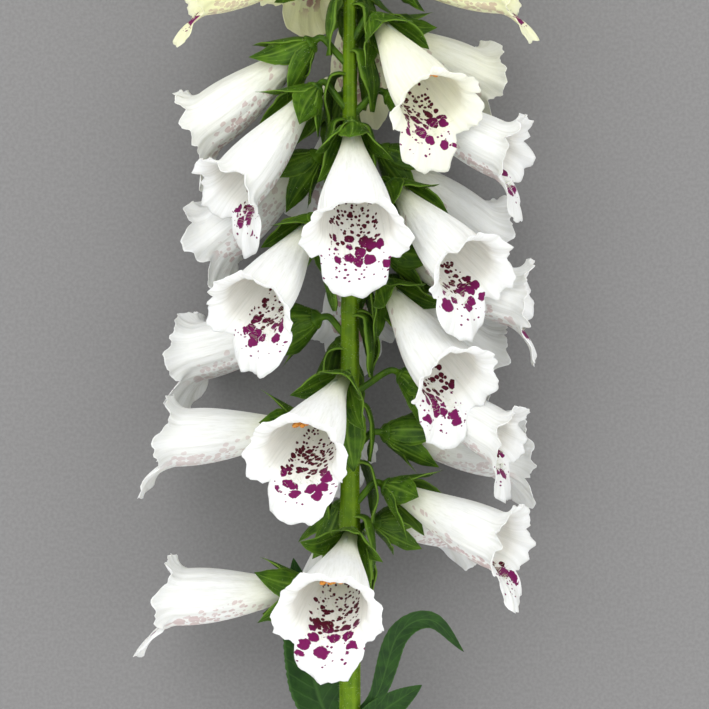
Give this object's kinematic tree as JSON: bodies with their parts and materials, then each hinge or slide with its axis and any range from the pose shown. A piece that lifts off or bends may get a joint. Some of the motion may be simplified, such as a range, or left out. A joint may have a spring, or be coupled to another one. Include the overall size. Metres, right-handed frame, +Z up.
{
  "type": "foxglove flower spike",
  "caption": "Cut foxglove flower spike lying on a surface: white bell flowers with spotted throats round a leafy green stem, with pale buds and a green tip.",
  "frame": {"origin": "on the surface that the spike lies on, under the middle of its length and width", "axes": "+Y along the stem from the cut end to the tip, +Z up from the surface, +X to the right as the spike is looked down on"},
  "size_m": [0.1346, 0.43, 0.0992],
  "materials": {
    "leaf_green": "matte green plant tissue",
    "petal_white": "soft translucent petal, spotted inside",
    "petal_cream": "soft translucent young petal"
  },
  "bodies": {
    "root": {"leafy_stem": "leaf_green", "bell_01": "petal_white", "bell_02": "petal_white", "bell_03": "petal_white", "bell_04": "petal_white", "bell_05": "petal_white", "bell_06": "petal_white", "bell_07": "petal_white", "bell_08": "petal_white", "bell_09": "petal_white", "bell_10": "petal_white", "bell_11": "petal_white", "bell_12": "petal_white", "bell_13": "petal_white", "bell_14": "petal_white", "bell_15": "petal_white", "bell_16": "petal_white", "bell_17": "petal_white", "bell_18": "petal_white", "bell_19": "petal_white", "bell_20": "petal_white", "bell_21": "petal_white", "bell_22": "petal_white", "bell_23": "petal_white", "bell_24": "petal_white", "bell_25": "petal_white", "bell_26": "petal_white", "bell_27": "petal_white", "bell_28": "petal_cream", "bell_29": "petal_cream", "bell_30": "petal_cream", "bell_31": "petal_cream", "bell_32": "petal_cream", "bell_33": "petal_cream", "bud_1": "petal_cream", "bud_2": "petal_cream", "bud_3": "petal_cream", "bud_4": "petal_cream", "bud_5": "petal_cream", "bud_6": "petal_cream", "bud_7": "petal_cream", "bud_8": "petal_cream"}
  },
  "joints": []
}
